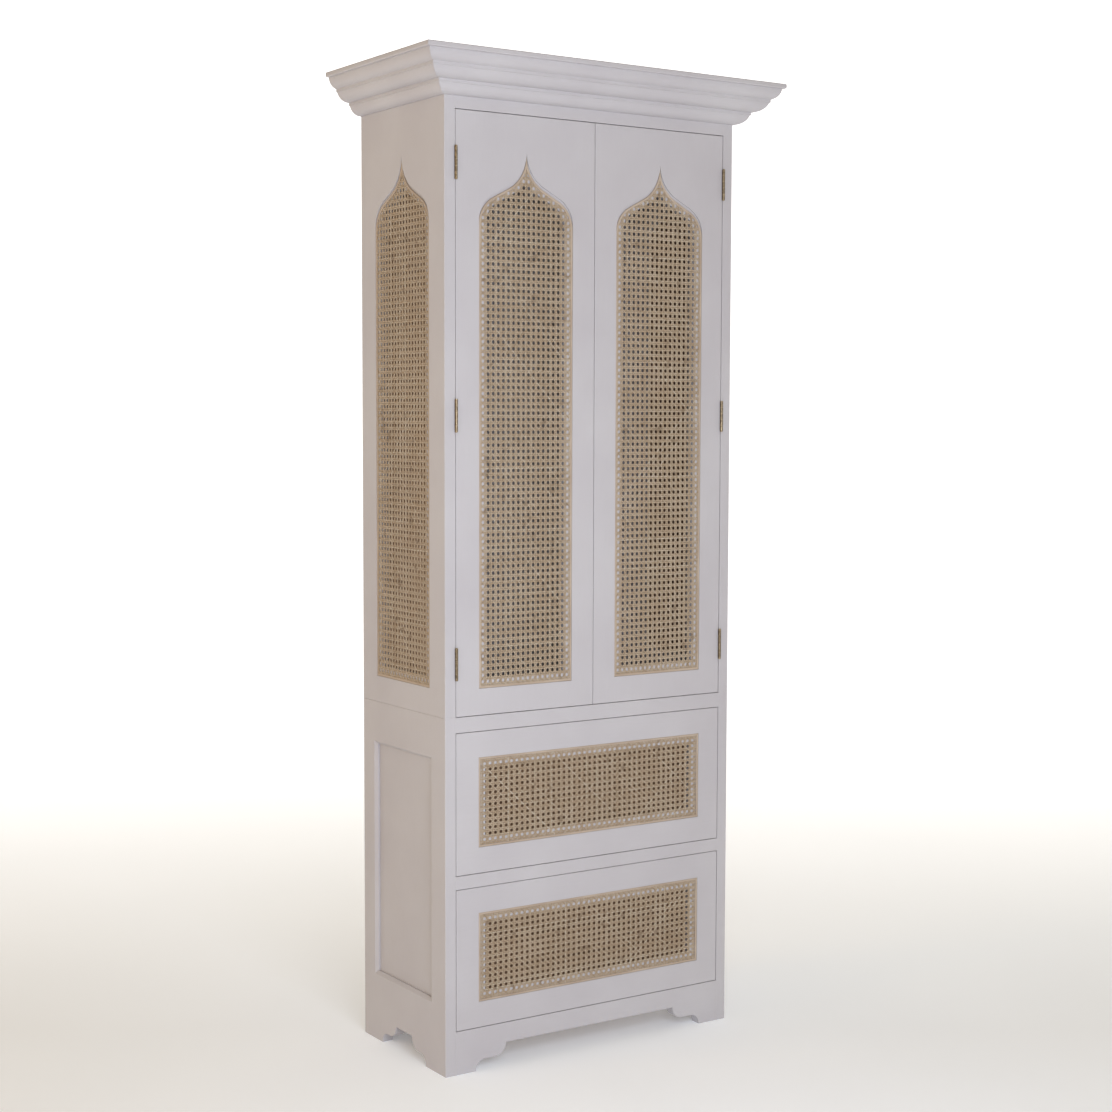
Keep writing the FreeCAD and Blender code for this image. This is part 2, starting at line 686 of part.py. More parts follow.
def hinges():
    pins = []
    case_leaves = []
    case_screws = []
    for name, side in SIDES.items():
        for of_door in (False, True):
            owner = "door" if of_door else "case"
            toward = -side if of_door else side
            screws = [screw(f"{owner}_{name}_{number}", side, toward, level)
                      for number, level in enumerate(screw_levels())]
            leaves = [leaf(f"{owner}_{name}", side, hinge, of_door,
                           screws[SCREWS * hinge:SCREWS * (hinge + 1)])
                      for hinge in range(HINGES)]
            if of_door:
                node(grouped(f"door_hinge_leaves_{name}", leaves), f"door_hinge_leaves_{name}")
                node(grouped(f"door_hinge_screws_{name}", screws), f"door_hinge_screws_{name}")
            else:
                case_leaves += leaves
                case_screws += screws
        for hinge in range(HINGES):
            low = f"({hinge_level(hinge)} - hinge_height / 2)"
            axis = (f"{side} * {AXIS_X}", AXIS_Y)
            pins.append(joined(f"pin_{name}_{hinge}", [
                rod(f"pin_core_{name}_{hinge}", "pin_radius", "hinge_height", axis + (low,)),
                rod(f"pin_foot_{name}_{hinge}", "pin_head_radius", "pin_head_height",
                    axis + (f"{low} - pin_head_height",)),
                rod(f"pin_head_{name}_{hinge}", "pin_head_radius", "pin_head_height",
                    axis + (f"{low} + hinge_height",))]))
    node(grouped("case_hinge_leaves", case_leaves), "case_hinge_leaves")
    node(grouped("case_hinge_screws", case_screws), "case_hinge_screws")
    node(grouped("hinge_pins", pins), "hinge_pins")


# ---------------------------------------------------------------- doors and drawers

def front_edges(middle, left, low, right, high):
    """True for an outer edge of the front face of a door or drawer front."""
    return near(middle.y, 0) and (near(middle.x, left, right) or near(middle.z, low, high))


def door(name, side):
    """Door slab with its arched opening, its webbing and the strike plate of its catch."""
    centre = f"{side} * {DOOR_CENTRE}"
    limits = [f"{centre} - {DOOR_HALF}", DOOR_LOW, f"{centre} + {DOOR_HALF}", DOOR_HIGH]
    body = new_body(f"door_panel_{name}", y=FRONT)
    pad(body, "XZ_Plane", 1, FRONT_THICK, rectangle(*limits))
    cane_half = f"({DOOR_HALF} - door_frame)"
    pocket(body, "XZ_Plane", 1, "rebate_depth", corners=arch(centre, cane_half))
    pocket(body, "XZ_Plane", 1, FRONT_THICK, corners=arch(centre, cane_half, "rebate_lap"))
    edges = [value(limit) for limit in limits]
    ease(body, "arris", lambda middle: front_edges(middle, *edges))
    hinge_seats(body, f"{side} * {DOOR_EDGE}", -side, "0")
    cane = new_body(f"door_cane_{name}", y=f"{FRONT} + rebate_depth")
    pad(cane, "XZ_Plane", -1, "cane_thick", arch(centre, cane_half, "cane_play"))
    node(rod(f"strike_plate_{name}", "strike_radius", "strike_thick",
             (f"{side} * magnet_across", f"{FRONT} + {FRONT_THICK}", MAGNET_LEVEL), "y"),
         f"strike_plate_{name}")


def drawer(name, opening_low):
    """Cane-fronted drawer: front, webbing, lining, and an open box of sides, back and bottom."""
    low = f"({opening_low} + front_gap)"
    high = f"({opening_low} + {OPENING} - front_gap)"

    def window(inset):
        across = f"{DOOR_EDGE} - {inset}"
        return [f"-({across})", f"{low} + {inset}", across, f"{high} - {inset}"]

    def infill(kind, inset, start, end):
        left, bottom, right, top = window(inset)
        board(f"drawer_{kind}_{name}", (left, right), (start, end), (bottom, top))

    front = new_body(f"drawer_front_{name}", y=FRONT)
    pad(front, "XZ_Plane", 1, FRONT_THICK, rectangle(*window("0")))
    pocket(front, "XZ_Plane", 1, "rebate_depth", corners=rectangle(*window("drawer_frame")))
    pocket(front, "XZ_Plane", 1, FRONT_THICK, corners=rectangle(*window("(drawer_frame + drawer_lap)")))
    edges = [value(limit) for limit in window("0")]
    ease(front, "arris", lambda middle: front_edges(middle, *edges))
    seat = f"{FRONT} + rebate_depth"
    inner_face = f"{FRONT} + {FRONT_THICK}"
    infill("cane", "(drawer_frame + cane_play)", f"{seat} - cane_thick", seat)
    infill("lining", "(drawer_frame + drawer_lap)", f"{inner_face} - lining_thick", inner_face)

    side_low = f"({opening_low} + runner_play)"
    side_high = f"({side_low} + drawer_side_height)"
    outer = f"({INNER} - drawer_side_play)"
    inner = f"({outer} - drawer_side_thick)"
    start = f"({FRONT} + {FRONT_THICK})"
    end = f"({BACK_BOARD} - drawer_rear_play)"
    floor = f"({side_low} + drawer_floor_lift)"
    floor_top = f"({floor} + drawer_floor_thick)"
    board(f"drawer_side_left_{name}", (f"-{outer}", f"-{inner}"), (start, end), (side_low, side_high))
    board(f"drawer_side_right_{name}", (inner, outer), (start, end), (side_low, side_high))
    across = (f"-{inner}", inner)
    board(f"drawer_bottom_{name}", across, (start, end), (floor, floor_top))
    board(f"drawer_back_{name}", across, (f"{end} - drawer_side_thick", end), (floor_top, side_high))


base_case()
stacked_boards()
upper_case()
cornice()
hinges()
for name, side in SIDES.items():
    door(name, side)
for name, opening_low in DRAWERS.items():
    drawer(name, opening_low)
doc.recompute()

for thing in doc.Objects:
    if "Invalid" in thing.State or "Error" in thing.State:
        raise RuntimeError(f"{thing.Name} failed: {thing.State}")
for feature in cuts:
    if feature.Shape.Volume >= feature.BaseFeature.Shape.Volume - TOUCH:
        raise RuntimeError(f"{feature.Name} removes nothing")
for thing in nodes:
    if thing.Shape.isNull() or not thing.Shape.isValid():
        raise RuntimeError(f"{thing.Label} has no valid shape")

os.makedirs("parts", exist_ok=True)
for thing in nodes:
    thing.Shape.exportStep(f"parts/{thing.Label}.step")
print(len(nodes), "pieces written")
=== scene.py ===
import json
import math

import bpy
import numpy as np
from mathutils import Matrix, Vector


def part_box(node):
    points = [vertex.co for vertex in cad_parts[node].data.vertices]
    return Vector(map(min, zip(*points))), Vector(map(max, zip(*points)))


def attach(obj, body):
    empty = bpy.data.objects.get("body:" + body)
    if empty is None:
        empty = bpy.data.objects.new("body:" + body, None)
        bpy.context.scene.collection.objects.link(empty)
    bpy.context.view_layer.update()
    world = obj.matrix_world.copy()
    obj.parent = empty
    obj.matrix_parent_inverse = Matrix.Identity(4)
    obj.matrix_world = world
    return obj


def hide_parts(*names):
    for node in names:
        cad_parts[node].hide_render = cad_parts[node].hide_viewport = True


# Looks of a painted armoire with woven cane panels: paint, cane, bare wood and brass, and the
# strands of the webbing as real geometry. Metres, +Z up, front towards -Y.

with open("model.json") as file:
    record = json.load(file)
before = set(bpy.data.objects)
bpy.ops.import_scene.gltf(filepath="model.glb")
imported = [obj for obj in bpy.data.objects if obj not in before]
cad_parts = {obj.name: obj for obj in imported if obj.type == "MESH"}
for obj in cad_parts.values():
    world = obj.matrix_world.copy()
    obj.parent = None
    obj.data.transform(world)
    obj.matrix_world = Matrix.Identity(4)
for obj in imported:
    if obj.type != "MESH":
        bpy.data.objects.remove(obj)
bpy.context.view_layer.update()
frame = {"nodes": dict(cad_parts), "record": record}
NODES = frame["nodes"]
MM = 0.001

# Ogee arch of the doors and sides, as in the solid model
ARCH_LOW_RADIUS = 60 * MM
ARCH_TOP_RADIUS = 75 * MM
ARCH_RISE = 1.03 * (ARCH_LOW_RADIUS + ARCH_TOP_RADIUS)

# Half-inch cane webbing
ROLL_PITCH = 12.6 * MM
CROSS_PITCH = 11.7 * MM
STRAND_WIDTH = 2.3 * MM
STRAND_THICK = 0.5 * MM
DIAGONAL_WIDTH = 2.2 * MM
PAIR_OFFSET = 1.75 * MM
WEAVE_LIFT = 0.42 * MM
DIAGONAL_LIFT = 0.9 * MM
SAMPLES_PER_PITCH = 3
CLIP_STEP = 0.5 * MM

# Reed that covers the cut edge of the webbing
REED_WIDTH = 4.2 * MM
REED_DEPTH = 1.1 * MM
REED_CROWN = 1.55 * MM
REED_RINGS = 7
ARC_STEPS = 24

# Glow of the background paper: faint on the floor, rising towards the backdrop behind the armoire
NEAR_GLOW = 0.2
FAR_GLOW = 0.85
BACKDROP_SIDE = (0.55, 0.84, 0.0)


# ---------------------------------------------------------------- colour and nodes

def linear(code):
    """sRGB hex to linear: c / 12.92 below 0.04045, else ((c + 0.055) / 1.055) ^ 2.4."""
    parts = [int(code[k:k + 2], 16) / 255 for k in (1, 3, 5)]
    return tuple(c / 12.92 if c <= 0.04045 else ((c + 0.055) / 1.055) ** 2.4 for c in parts) + (1.0,)


def add(tree, kind, settings=None, values=None, links=None):
    """Adds a node, sets its properties and socket values, and links its inputs."""
    made = tree.nodes.new(kind)
    for name, setting in (settings or {}).items():
        setattr(made, name, setting)
    for name, value in (values or {}).items():
        made.inputs[name].default_value = value
    for name, source in (links or {}).items():
        tree.links.new(source, made.inputs[name])
    return made


def new_material(name):
    """An empty material and its node tree."""
    material = bpy.data.materials.new(name)
    material.use_nodes = True
    tree = material.node_tree
    tree.nodes.clear()
    return material, tree


def noise(tree, place, scale, stretch=(1, 1, 1), detail=3.0, roughness=0.5):
    """Noise of that many features per metre, drawn out by the stretch."""
    mapping = add(tree, "ShaderNodeMapping", values={"Scale": [scale / s for s in stretch]},
                  links={"Vector": place})
    made = add(tree, "ShaderNodeTexNoise", values={"Scale": 1.0, "Detail": detail, "Roughness": roughness},
               links={"Vector": mapping.outputs["Vector"]})
    return made.outputs["Fac"]


def ramp(tree, factor, stops):
    """Colour ramp from (position, colour) pairs."""
    made = add(tree, "ShaderNodeValToRGB", links={"Fac": factor})
    elements = made.color_ramp.elements
    while len(elements) < len(stops):
        elements.new(0.5)
    for element, (position, colour) in zip(elements, stops):
        element.position = position
        element.color = colour
    return made.outputs["Color"]


def blend_colours(tree, factor, first, second):
    """Mixes two colours, each a socket or a value."""
    made = add(tree, "ShaderNodeMix", {"data_type": "RGBA"})
    for key, source in ((0, factor), (6, first), (7, second)):
        if isinstance(source, bpy.types.NodeSocket):
            tree.links.new(source, made.inputs[key])
        else:
            made.inputs[key].default_value = source
    return made.outputs[2]


def spread(tree, factor, low, high):
    """Maps 0..1 to low..high."""
    made = add(tree, "ShaderNodeMapRange", None, {"To Min": low, "To Max": high}, {"Value": factor})
    return made.outputs["Result"]


def edge_mask(tree, radius, low, high):
    """How far the rounded normal turns away from the flat one: 0 on a flat, 1 on an edge."""
    rounded = add(tree, "ShaderNodeBevel", {"samples": 4}, {"Radius": radius})
    flat = add(tree, "ShaderNodeNewGeometry")
    turned = add(tree, "ShaderNodeVectorMath", {"operation": "DOT_PRODUCT"},
                 links={0: rounded.outputs["Normal"], 1: flat.outputs["Normal"]})
    return add(tree, "ShaderNodeMapRange", None, {"From Min": low, "From Max": high},
               {"Value": turned.outputs["Value"]}).outputs["Result"]


def finish_material(tree, values, links):
    """Adds the surface shader and the output."""
    shader = add(tree, "ShaderNodeBsdfPrincipled", values=values, links=links)
    add(tree, "ShaderNodeOutputMaterial", links={"Surface": shader.outputs["BSDF"]})


# ---------------------------------------------------------------- finishes

def brushed_eggshell_paint(name, stretch):
    """Eggshell oil paint laid on with a brush over primed hardwood: soft sheen, faint patches 200 mm
    wide, bristle strokes 2.4 mm apart along the board, over grain 6 mm apart, and lighter edges, which
    are partly wear, where the paint is thinner and rubbed in patches, and partly a painted highlight
    along every arris. Real bristle marks are finer, under 1 mm, and would not show."""
    material, tree = new_material(name)
    place = add(tree, "ShaderNodeTexCoord").outputs["Object"]
    clouds = noise(tree, place, 5.0, detail=4.0)
    strokes = noise(tree, place, 420.0, stretch, detail=4.0, roughness=0.6)
    grain = noise(tree, place, 160.0, stretch, detail=2.0)
    body = ramp(tree, clouds, [(0.3, linear("#b8b4b8")), (0.7, linear("#c0bdc0"))])
    streaked = blend_colours(tree, spread(tree, strokes, 0.0, 0.22), body, linear("#ada8ab"))
    rubbed = blend_colours(tree, spread(tree, noise(tree, place, 60.0, detail=5.0), -0.2, 0.75),
                           (0, 0, 0, 1), (1, 1, 1, 1))
    # Lighter edges towards #cdcac7: a painted highlight along every arris, broken into patches by the rubbed
    # noise, which stands for worn, thinner paint
    edges = add(tree, "ShaderNodeMath", {"operation": "MULTIPLY"},
                links={0: edge_mask(tree, 1.2 * MM, 0.999, 0.93), 1: rubbed}).outputs["Value"]
    colour = blend_colours(tree, edges, streaked, linear("#cdcac7"))
    rounded = add(tree, "ShaderNodeBevel", {"samples": 4}, {"Radius": 0.9 * MM})
    relief = add(tree, "ShaderNodeBump", None, {"Strength": 0.16, "Distance": 0.15 * MM},
                 {"Height": strokes, "Normal": rounded.outputs["Normal"]})
    relief = add(tree, "ShaderNodeBump", None, {"Strength": 0.1, "Distance": 0.25 * MM},
                 {"Height": grain, "Normal": relief.outputs["Normal"]})
    finish_material(tree, {"IOR": 1.5, "Specular IOR Level": 0.4},
                    {"Base Color": colour, "Roughness": spread(tree, strokes, 0.44, 0.6),
                     "Normal": relief.outputs["Normal"]})
    return material


def oiled_hardwood(name, stretch):
    """Plain sawn mango-like hardwood, oiled: grain bands 26 mm apart in two browns, with dark pores
    1.4 mm apart, all long in the board's direction, and nearly matt."""
    material, tree = new_material(name)
    place = add(tree, "ShaderNodeTexCoord").outputs["Object"]
    bands = noise(tree, place, 38.0, stretch, detail=5.0, roughness=0.6)
    figure = noise(tree, place, 6.0, stretch, detail=2.0)
    pores = noise(tree, place, 700.0, stretch, detail=2.0)
    wood = ramp(tree, bands, [(0.28, linear("#6c5543")), (0.5, linear("#8c705a")), (0.72, linear("#a68a6e"))])
    wood = blend_colours(tree, spread(tree, figure, 0.0, 0.5), wood, linear("#795f4a"))
    pore_mask = add(tree, "ShaderNodeMapRange", None, {"From Min": 0.62, "From Max": 0.72}, {"Value": pores})
    colour = blend_colours(tree, spread(tree, pore_mask.outputs["Result"], 0.0, 0.6), wood, linear("#4a3323"))
    relief = add(tree, "ShaderNodeBump", None, {"Strength": 0.25, "Distance": 0.2 * MM}, {"Height": pores})
    finish_material(tree, {"IOR": 1.48},
                    {"Base Color": colour, "Roughness": spread(tree, bands, 0.5, 0.68),
                     "Normal": relief.outputs["Normal"]})
    return material


def split_cane(name):
    """Split rattan peel: straw skin with a soft gloss, each strand its own tone, browned in places, with
    fibres 1.1 mm apart and darker scars 22 mm apart where the vine had nodes."""
    material, tree = new_material(name)
    place = add(tree, "ShaderNodeTexCoord").outputs["Object"]
    tone = add(tree, "ShaderNodeAttribute", {"attribute_name": "tone"}).outputs["Fac"]
    skin = ramp(tree, tone, [(0.0, linear("#a08a6f")), (0.45, linear("#b39f87")), (0.85, linear("#bfb09b")),
                             (1.0, linear("#ccc2b1"))])
    clouds = noise(tree, place, 9.0, detail=3.0)
    aged = blend_colours(tree, spread(tree, clouds, 0.0, 0.45), skin, linear("#998369"))
    fibres = noise(tree, place, 900.0, detail=2.0)
    nodes_mask = add(tree, "ShaderNodeMapRange", None, {"From Min": 0.66, "From Max": 0.74},
                     {"Value": noise(tree, place, 45.0, detail=1.0)})
    scarred = spread(tree, nodes_mask.outputs["Result"], 0.0, 0.5)
    colour = blend_colours(tree, scarred, aged, linear("#776149"))
    relief = add(tree, "ShaderNodeBump", None, {"Strength": 0.3, "Distance": 0.1 * MM}, {"Height": fibres})
    finish_material(tree, {"IOR": 1.5},
                    {"Base Color": colour, "Roughness": spread(tree, fibres, 0.38, 0.62),
                     "Normal": relief.outputs["Normal"]})
    return material


def round_reed(name):
    """Flat-oval reed: the pale inner core of rattan, matt, in soft tones 70 mm apart with fibres of
    0.9 mm."""
    material, tree = new_material(name)
    place = add(tree, "ShaderNodeTexCoord").outputs["Object"]
    clouds = noise(tree, place, 14.0, detail=4.0)
    fibres = noise(tree, place, 1100.0, detail=2.0)
    core = ramp(tree, clouds, [(0.3, linear("#ab9988")), (0.55, linear("#b7a695")),
                               (0.75, linear("#c3b3a3"))])
    colour = blend_colours(tree, spread(tree, fibres, 0.0, 0.35), core, linear("#978573"))
    relief = add(tree, "ShaderNodeBump", None, {"Strength": 0.25, "Distance": 0.1 * MM}, {"Height": fibres})
    finish_material(tree, {"IOR": 1.45},
                    {"Base Color": colour, "Roughness": spread(tree, fibres, 0.55, 0.75),
                     "Normal": relief.outputs["Normal"]})
    return material


def aged_brass(name):
    """Polished brass that has dulled in use: warm metal, brown tarnish in patches of 4.5 mm, fine
    upright scratches, and brighter edges."""
    material, tree = new_material(name)
    place = add(tree, "ShaderNodeTexCoord").outputs["Object"]
    tarnish = noise(tree, place, 220.0, detail=5.0, roughness=0.6)
    metal = ramp(tree, tarnish, [(0.35, linear("#5f5342")), (0.55, linear("#857660")),
                                 (0.75, linear("#aa9a7c"))])
    colour = blend_colours(tree, edge_mask(tree, 0.5 * MM, 0.999, 0.9), metal, linear("#c2b08c"))
    scratches = noise(tree, place, 1500.0, (1, 1, 12), detail=2.0)
    relief = add(tree, "ShaderNodeBump", None, {"Strength": 0.15, "Distance": 0.05 * MM},
                 {"Height": scratches})
    finish_material(tree, {"Metallic": 1.0},
                    {"Base Color": colour, "Roughness": spread(tree, tarnish, 0.42, 0.26),
                     "Normal": relief.outputs["Normal"]})
    return material


def nickel_plate(name):
    """Nickel-plated steel: cool grey metal with brushed marks 0.8 mm apart."""
    material, tree = new_material(name)
    place = add(tree, "ShaderNodeTexCoord").outputs["Object"]
    marks = noise(tree, place, 1200.0, (20, 1, 1), detail=2.0)
    colour = ramp(tree, marks, [(0.3, linear("#a9a9a8")), (0.7, linear("#c6c5c2"))])
    relief = add(tree, "ShaderNodeBump", None, {"Strength": 0.1, "Distance": 0.05 * MM}, {"Height": marks})
    finish_material(tree, {"Metallic": 1.0},
                    {"Base Color": colour, "Roughness": spread(tree, marks, 0.28, 0.4),
                     "Normal": relief.outputs["Normal"]})
    return material


def studio_paper(name):
    """Seamless background paper: matt, very slightly mottled, with a painted glow: the paper emits light
    of its own, faint near the middle and rising further out towards the backdrop side.
    """
    material, tree = new_material(name)
    place = add(tree, "ShaderNodeTexCoord").outputs["Object"]
    colour = ramp(tree, noise(tree, place, 1.5), [(0.3, linear("#ebeff4")), (0.7, linear("#eff3f8"))])
    # Painted glow: the emission strength runs from NEAR_GLOW at the middle to FAR_GLOW 3.5 m out towards
    # BACKDROP_SIDE, so the paper itself lights the floor and the armoire
    beyond = add(tree, "ShaderNodeVectorMath", {"operation": "DOT_PRODUCT"}, {1: BACKDROP_SIDE}, {0: place})
    glow = add(tree, "ShaderNodeMapRange", None,
               {"From Min": 0.0, "From Max": 3.5, "To Min": NEAR_GLOW, "To Max": FAR_GLOW},
               {"Value": beyond.outputs["Value"]})
    finish_material(tree, {"Roughness": 0.95, "Specular IOR Level": 0.1, "Emission Color": linear("#fbfbfc")},
                    {"Base Color": colour, "Emission Strength": glow.outputs["Result"]})
    return material


LONG = {"x": (14, 1, 1), "y": (1, 14, 1), "z": (1, 1, 14)}
PAINT = {axis: brushed_eggshell_paint(f"brushed_eggshell_paint_{axis}", LONG[axis]) for axis in LONG}
WOOD = {axis: oiled_hardwood(f"oiled_hardwood_{axis}", LONG[axis]) for axis in LONG}
CANE = split_cane("split_cane")
REED = round_reed("round_reed")
BRASS = aged_brass("aged_brass")
NICKEL = nickel_plate("nickel_plate")


def long_axis(node):
    """The axis along which a board is longest."""
    low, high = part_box(node)
    size = high - low
    return "xyz"[max(range(3), key=lambda k: size[k])]


def dress_frame():
    """Gives every solid its finish by material slot, with grain and strokes along the board."""
    for part in frame["record"]["subparts"]:
        node, slot = part["node"], part["material_slot"]
        axis = long_axis(node)
        material = {"painted_wood": PAINT[axis], "natural_wood": WOOD[axis], "cane": CANE, "brass": BRASS,
                    "steel": NICKEL}[slot]
        NODES[node].data.materials.clear()
        NODES[node].data.materials.append(material)


# ---------------------------------------------------------------- webbing

def arch_touches(half, tip, inset=0.0):
    """Where the straight of the ogee meets its convex arc and its concave arc, as (across, up) points,
    for an outline drawn in by the inset. The straight's unit normal (lean, climb) follows from the two
    centres: it is the internal tangent of the two circles."""
    reach = half - ARCH_LOW_RADIUS
    across = ARCH_TOP_RADIUS - reach
    radii = ARCH_LOW_RADIUS + ARCH_TOP_RADIUS
    apart = across ** 2 + ARCH_RISE ** 2
    tangent = math.sqrt(apart - radii ** 2)
    lean = (radii * across + tangent * ARCH_RISE) / apart
    climb = (radii * ARCH_RISE - tangent * across) / apart
    low_radius = ARCH_LOW_RADIUS - inset
    top_radius = ARCH_TOP_RADIUS + inset
    low = (reach + low_radius * lean, tip - ARCH_RISE + low_radius * climb)
    top = (ARCH_TOP_RADIUS - top_radius * lean, tip - top_radius * climb)
    return low, top


def arch_width(level, half, tip):
    """Half-width of the ogee at a level. Below the spring it is the full half-width. Above it comes a
    convex arc, reach + sqrt(r1^2 - rise^2), then the straight that touches both arcs, then a concave
    arc, r2 - sqrt(r2^2 - (tip - level)^2), that ends at zero at the tip."""
    spring = tip - ARCH_RISE
    low_touch, top_touch = arch_touches(half, tip)
    rise = np.clip(level - spring, 0, ARCH_LOW_RADIUS)
    drop = np.clip(tip - level, 0, ARCH_TOP_RADIUS)
    convex = half - ARCH_LOW_RADIUS + np.sqrt(ARCH_LOW_RADIUS ** 2 - rise ** 2)
    straight = np.interp(level, [low_touch[1], top_touch[1]], [low_touch[0], top_touch[0]])
    concave = ARCH_TOP_RADIUS - np.sqrt(ARCH_TOP_RADIUS ** 2 - drop ** 2)
    return np.select([level <= spring, level <= low_touch[1], level <= top_touch[1], level <= tip],
                     [half, convex, straight, concave], -1.0)


def arch_outline(half, low, tip, inset):
    """Closed outline of the ogee panel drawn in by the inset, anticlockwise from the lower right. Each
    arc is sampled evenly in angle about its own centre; the two concave arcs meet on the middle line
    at tip - sqrt((r2 + inset)^2 - r2^2)."""
    low_touch, top_touch = arch_touches(half, tip, inset)
    spring = tip - ARCH_RISE
    low_radius = ARCH_LOW_RADIUS - inset
    top_radius = ARCH_TOP_RADIUS + inset
    reach = half - ARCH_LOW_RADIUS
    low_turn = np.linspace(0, math.atan2(low_touch[1] - spring, low_touch[0] - reach), ARC_STEPS)
    convex = np.column_stack([reach + low_radius * np.cos(low_turn), spring + low_radius * np.sin(low_turn)])
    top_turn = np.linspace(math.atan2(tip - top_touch[1], ARCH_TOP_RADIUS - top_touch[0]),
                           math.acos(ARCH_TOP_RADIUS / top_radius), ARC_STEPS)
    concave = np.column_stack([ARCH_TOP_RADIUS - top_radius * np.cos(top_turn),
                               tip - top_radius * np.sin(top_turn)])
    right = np.concatenate([[(half - inset, low + inset)], convex, concave])
    left = right[-2::-1] * (-1, 1)
    return np.concatenate([right, left])


def square_outline(half, low, high, inset):
    """Closed rectangular outline drawn in by the inset."""
    across = half - inset
    return np.array([(across, low + inset), (across, high - inset), (-across, high - inset),
                     (-across, low + inset)])


def stretches(inside):
    """Row, first and last sample of every unbroken stretch of True along each row."""
    change = np.diff(np.pad(inside, ((0, 0), (1, 1))).astype(np.int8), axis=1)
    rows, first = np.nonzero(change == 1)
    last = np.nonzero(change == -1)[1] - 1
    return rows, first, last


def strands(anchors, direction, reach, inside, lift, width, step):
    """Flat strands along parallel lines, anchor + s * direction, kept where they are inside the panel.
    Each is a ribbon with a bevelled top: four points across, lifted by the weave at every step. Returns
    points (across, up, out), quads and the number of the line that each point belongs to."""
    s = np.arange(-reach, reach, CLIP_STEP)
    line = anchors[:, None, :] + s[None, :, None] * direction
    rows, first, last = stretches(inside(line[..., 0], line[..., 1]))
    kept = last - first >= 2
    rows, start, length = rows[kept], s[first[kept]], (last - first)[kept] * CLIP_STEP
    counts = np.ceil(length / step).astype(int) + 1
    strand = np.repeat(np.arange(len(rows)), counts)
    place = np.arange(counts.sum()) - np.repeat(np.cumsum(counts) - counts, counts)
    along = start[strand] + place / (counts[strand] - 1) * length[strand]
    centre = anchors[rows[strand]] + along[:, None] * direction
    height = lift(centre[:, 0], centre[:, 1], rows[strand])
    side = np.array([-direction[1], direction[0]])
    across = np.array([-0.5, -0.28, 0.28, 0.5]) * width
    up = np.array([-0.5, 0.5, 0.5, -0.5]) * STRAND_THICK
    flat = centre[:, None, :] + across[None, :, None] * side
    points = np.concatenate([flat, (height[:, None] + up)[..., None]], axis=2).reshape(-1, 3)
    joined = np.nonzero(strand[:-1] == strand[1:])[0]
    k = np.arange(4)
    near_side = 4 * joined[:, None] + k
    near_next = 4 * joined[:, None] + (k + 1) % 4
    quads = np.stack([near_side, near_side + 4, near_next + 4, near_next], axis=2).reshape(-1, 4)
    ends = np.cumsum(counts)
    caps_start = 4 * (ends - counts)[:, None] + k
    caps_end = 4 * (ends - 1)[:, None] + k[::-1]
    return points, np.concatenate([quads, caps_start, caps_end]), np.repeat(rows[strand], 4)


def weave(span, inside, pitch, centre_level):
    """The two layers of a six-way weave in a panel's plane, as (points, quads, line numbers) lists.
    Uprights and crossings run in pairs at whole pitches, each strand over one of a crossing pair and
    under the other: lift = +-sin(2 pi v / pitch), scaled to be full at each strand of the pair and held
    level beyond it. Diagonals run through the half pitches, over the uprights and under the crossings,
    or the other way: lift = +-cos(2 pi u / pitch)."""
    pitch = np.array(pitch)
    reach = np.hypot(*span) / 2 + pitch[0]
    count = np.ceil(np.array(span) / 2 / pitch).astype(int) + 1
    signs = np.array([-1.0, 1.0])

    def pair_lines(axis):
        index = np.arange(-count[axis], count[axis] + 1)
        offsets = (index[:, None] * pitch[axis] + signs * PAIR_OFFSET).reshape(-1)
        anchors = np.zeros((len(offsets), 2))
        anchors[:, axis] = offsets
        anchors[:, 1] += centre_level
        return anchors, np.tile(signs, len(index))

    def pair_lift(axis, sign):
        other = 1 - axis
        peak = math.sin(2 * math.pi * PAIR_OFFSET / pitch[other])

        def lift(u, v, row):
            place = u if other == 0 else v - centre_level
            wave = np.clip(np.sin(2 * math.pi * place / pitch[other]) / peak, -1, 1)
            return WEAVE_LIFT * wave * sign[row] * (1 if axis == 0 else -1)
        return lift

    square = []
    for axis, direction in ((0, (0.0, 1.0)), (1, (1.0, 0.0))):
        anchors, sign = pair_lines(axis)
        step = pitch[1 - axis] / SAMPLES_PER_PITCH
        square.append(strands(anchors, np.array(direction), reach, inside, pair_lift(axis, sign),
                              STRAND_WIDTH, step))
    slanted = []
    lines = int(count.sum()) + 1
    index = np.arange(-lines, lines) + 0.5
    for turn in (1, -1):
        anchors = np.column_stack([np.zeros(len(index)), centre_level + index * pitch[1]])
        direction = np.array([pitch[0], turn * pitch[1]])
        step = np.hypot(*pitch) / SAMPLES_PER_PITCH

        def lift(u, v, row, turn=turn):
            return turn * DIAGONAL_LIFT * np.cos(2 * math.pi * u / pitch[0])
        slanted.append(strands(anchors, direction / np.hypot(*direction), reach * 1.2, inside, lift,
                               DIAGONAL_WIDTH, step))
    return square, slanted


def reed_edge(loops):
    """A closed strip from outlines at rising insets: square at its two edges and domed between them.
    The crown across the width follows depth + (crown - depth) * sin(pi * place)."""
    steps = len(loops)
    place = np.linspace(0, 1, steps)
    level = REED_DEPTH + (REED_CROWN - REED_DEPTH) * np.sin(math.pi * place)
    rings = [np.column_stack([loops[0], np.full(len(loops[0]), -REED_DEPTH)])]
    rings += [np.column_stack([loop, np.full(len(loop), up)]) for loop, up in zip(loops, level)]
    rings.append(np.column_stack([loops[-1], np.full(len(loops[-1]), -REED_DEPTH)]))
    count = len(loops[0])
    ring, spot = np.meshgrid(np.arange(len(rings)), np.arange(count), indexing="ij")
    first = (ring * count + spot).ravel()
    second = (ring * count + (spot + 1) % count).ravel()
    size = len(rings) * count
    quads = np.stack([first, second, (second + count) % size, (first + count) % size], axis=1)
    return np.concatenate(rings), quads


